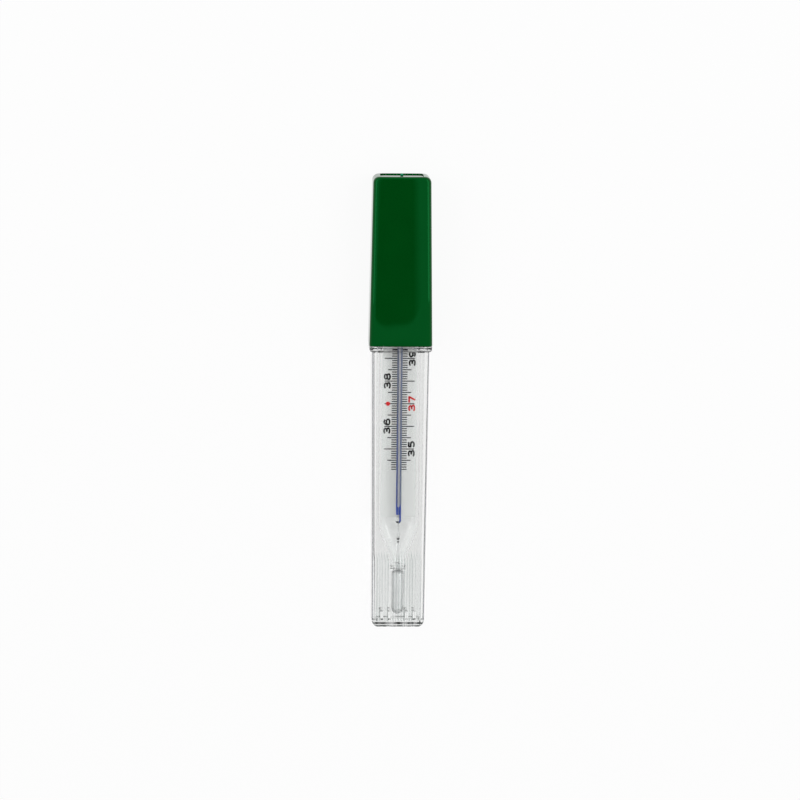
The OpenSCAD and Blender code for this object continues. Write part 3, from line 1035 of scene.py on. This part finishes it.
def add_digit(bm, digit, x, y):
    """A digit that is read upwards, with its middle at x and y."""
    half_w = (digit_w - digit_stroke) / 2
    half_h = (digit_h - digit_stroke) / 2
    for stroke in DIGITS[digit]:
        points = [(x - half_h * v, y + half_w * u) for u, v in stroke]
        add_mesh(bm, stroke_mesh(points))


def numerals_mesh(degrees):
    """Two digits at each degree, below and above its line: even ones on the left, odd ones on the right."""
    bm = bmesh.new()
    for degree in degrees:
        x = numeral_x * (1 if degree % 2 else -1)
        step = (digit_w + digit_gap) / 2
        for digit, way in zip(str(degree), (-1, 1)):
            add_digit(bm, digit, x, degree_y(degree) + way * step)
    return bm


def dot_mesh():
    """Round dot that marks fever."""
    bm = bmesh.new()
    depth = 2 * print_t + print_sink
    middle = (dot_inset - numeral_x, degree_y(fever_degree), plate_hi.z + print_t - print_sink / 2)
    bmesh.ops.create_cone(
        bm, cap_ends=True, segments=DOT_POINTS, radius1=dot_r, radius2=dot_r, depth=depth,
        matrix=Matrix.Translation(middle)
    )
    return bm


degrees = [d for d in range(lowest_degree, top_degree + 1) if d != fever_degree]
piece("scale_lines", ticks_mesh(), BLACK_INK, "scale_white", "thermometer")
piece("scale_numerals", numerals_mesh(degrees), BLACK_INK, "scale_white", "thermometer")
piece("fever_numeral", numerals_mesh([fever_degree]), RED_INK, "scale_white", "thermometer")
piece("fever_dot", dot_mesh(), RED_INK, "scale_white", "thermometer")

# Stage: floor, world and lamps

floor_drop = 0.1 * MM
floor_half = 3.0
backdrop_share = 0.92


def floor_material():
    """White floor that keeps a faint shadow of the part. To the camera, in gloss and through clear pieces
    it is nearly an even white."""
    material, tree, shader = new_material(
        "floor_white", Base_Color=(0.9, 0.9, 0.9, 1), Roughness=0.9, Specular_IOR_Level=0.0
    )
    glow = add_node(tree, "ShaderNodeEmission", Color=(1, 1, 1, 1), Strength=1.0)
    path = tree.nodes.new("ShaderNodeLightPath")
    seen = math_node(tree, "MAXIMUM", path.outputs["Is Camera Ray"], path.outputs["Is Glossy Ray"])
    seen = math_node(tree, "MAXIMUM", seen, path.outputs["Is Transmission Ray"])
    mix = tree.nodes.new("ShaderNodeMixShader")
    tree.links.new(product(tree, seen, backdrop_share), mix.inputs[0])
    tree.links.new(shader.outputs[0], mix.inputs[1])
    tree.links.new(glow.outputs[0], mix.inputs[2])
    tree.links.new(mix.outputs[0], tree.nodes["Material Output"].inputs["Surface"])
    return material


floor_bm = bmesh.new()
bmesh.ops.create_grid(
    floor_bm, x_segments=2, y_segments=2, size=floor_half, matrix=Matrix.Translation((0, 0, -floor_drop))
)
floor = to_object("floor", floor_bm)
floor.data.materials.append(floor_material())


# Dark things in the room, as X and Y of the directions to them. First the camera with its stand: a tongue
# whose tip lies over the cap, a bright gap below the tip, and a dark patch below the gap
stand_x = (-0.08, 0.128)
stand_x_soft = (0.012, 0.02)
tip_y = -0.129
tip_soft = 0.001
tip_bow = 60.0
tip_power = 4.0
stand_end_y = (0.35, 0.5)
patch_y = (-0.3, -0.15)
patch_soft = 0.006

# Then a wide strip, which keeps a grey veil off the glass over the scale
over_scale_x = (-0.75, 0.75)
over_scale_x_soft = 0.1
over_scale_low_y = (-0.190, -0.177)
over_scale_high_y = (-0.146, -0.138)

# Brightness of the room: of the dark things, of its front, and by the height of the direction
dark_level = 0.1
front_level = 0.35
front_y = (-0.9, -0.45)
room_levels = ((0.0, 0.85), (0.35, 0.7), (0.7, 0.6), (0.93, 0.66))


def dark_overhead(tree, x, y):
    """Brightness of the room overhead: dark_level at the stand and at the strip, and 1 elsewhere."""
    middle = (stand_x[0] + stand_x[1]) / 2
    off = math_node(tree, "ABSOLUTE", math_node(tree, "SUBTRACT", x, middle))
    bow = product(tree, math_node(tree, "POWER", off, tip_power), tip_bow)
    past = math_node(tree, "SUBTRACT", y, bow)
    tip = spread(tree, past, 0.0, 1.0, tip_y - tip_soft, tip_y + tip_soft)
    tongue = product(tree, tip, spread(tree, y, 1.0, 0.0, *stand_end_y))
    left = spread(tree, x, 0.0, 1.0, stand_x[0] - stand_x_soft[0], stand_x[0] + stand_x_soft[0])
    right = spread(tree, x, 1.0, 0.0, stand_x[1] - stand_x_soft[1], stand_x[1] + stand_x_soft[1])
    stand = math_node(tree, "MAXIMUM", tongue, band(tree, y, *patch_y, patch_soft))
    strip = product(
        tree,
        band(tree, x, *over_scale_x, over_scale_x_soft),
        spread(tree, y, 0.0, 1.0, *over_scale_low_y),
        spread(tree, y, 1.0, 0.0, *over_scale_high_y),
    )
    dark = math_node(tree, "MAXIMUM", product(tree, stand, left, right), strip)
    return spread(tree, dark, 1.0, dark_level, 0.0, 1.0)


def build_world():
    """White to the camera. Gloss and clear pieces show a white room, and soft light comes from a greyer
    one. Its front is dimmer, but not through clear pieces. All but the camera find the dark things in it."""
    world = bpy.data.worlds.new("studio")
    bpy.context.scene.world = world
    world.use_nodes = True
    tree = world.node_tree
    path = tree.nodes.new("ShaderNodeLightPath")
    coordinates = tree.nodes.new("ShaderNodeTexCoord")
    split = tree.nodes.new("ShaderNodeSeparateXYZ")
    tree.links.new(coordinates.outputs["Generated"], split.inputs[0])
    x, y, z = split.outputs
    ramp = tree.nodes.new("ShaderNodeValToRGB")
    tree.links.new(z, ramp.inputs["Fac"])
    while len(ramp.color_ramp.elements) < len(room_levels):
        ramp.color_ramp.elements.new(0.5)
    for element, (at, level) in zip(ramp.color_ramp.elements, room_levels):
        element.position = at
        element.color = (level, level, level, 1)
    through = path.outputs["Is Transmission Ray"]
    front = math_node(tree, "MAXIMUM", spread(tree, y, front_level, 1.0, *front_y), through)
    dimmed = product(tree, front, dark_overhead(tree, x, y))
    shown = math_node(tree, "MAXIMUM", path.outputs["Is Glossy Ray"], through)
    level = product(tree, math_node(tree, "MAXIMUM", ramp.outputs["Color"], shown), dimmed)
    level = math_node(tree, "MAXIMUM", level, path.outputs["Is Camera Ray"])
    tree.links.new(level, tree.nodes["Background"].inputs["Color"])


# Lamps: name, place, size along and across the part in metres, and power in watts
softboxes = (
    ("softbox_left", (-0.60, 0.24, 0.55), (0.6, 0.4), 1.4),
    ("softbox_right", (0.55, 0.24, 0.60), (0.6, 0.5), 2.0),
)


def add_softbox(name, where, size, power):
    """Area lamp that points at the part's axis. Its first size lies along the part."""
    lamp = bpy.data.lights.new(name, "AREA")
    lamp.shape = "RECTANGLE"
    lamp.size, lamp.size_y = size
    lamp.energy = power
    obj = bpy.data.objects.new(name, lamp)
    obj.location = where
    down = Vector((0, where[1], AXIS_Z)) - Vector(where)
    obj.rotation_euler = down.to_track_quat("-Z", "Y").to_euler()
    bpy.context.scene.collection.objects.link(obj)


build_world()
for softbox in softboxes:
    add_softbox(*softbox)

# Camera

camera_distance = 1.5
camera_half_view = 114.28 * MM
camera_left = math.radians(2.8)
camera_up = math.radians(8.91)
camera_roll = math.radians(0.60)
camera_target = Vector((0.15 * MM, 0.115 * MM, AXIS_Z))


def build_camera():
    """Camera over the scale, a little to the left and towards the cap, square frame."""
    data = bpy.data.cameras.new("camera")
    data.sensor_fit = "HORIZONTAL"
    data.lens = data.sensor_width / 2 * camera_distance / camera_half_view
    away = Vector((
        -math.sin(camera_left),
        math.sin(camera_up) * math.cos(camera_left),
        math.cos(camera_up) * math.cos(camera_left),
    ))
    right = Vector((0, 1, 0)).cross(away).normalized()
    up = away.cross(right)
    rolled_right = right * math.cos(camera_roll) + up * math.sin(camera_roll)
    rolled_up = up * math.cos(camera_roll) - right * math.sin(camera_roll)
    obj = bpy.data.objects.new("camera", data)
    turn = Matrix((rolled_right, rolled_up, away)).transposed()
    obj.matrix_world = Matrix.Translation(camera_target + camera_distance * away) @ turn.to_4x4()
    bpy.context.scene.collection.objects.link(obj)
    bpy.context.scene.camera = obj


build_camera()
bpy.context.scene.view_settings.view_transform = "Standard"
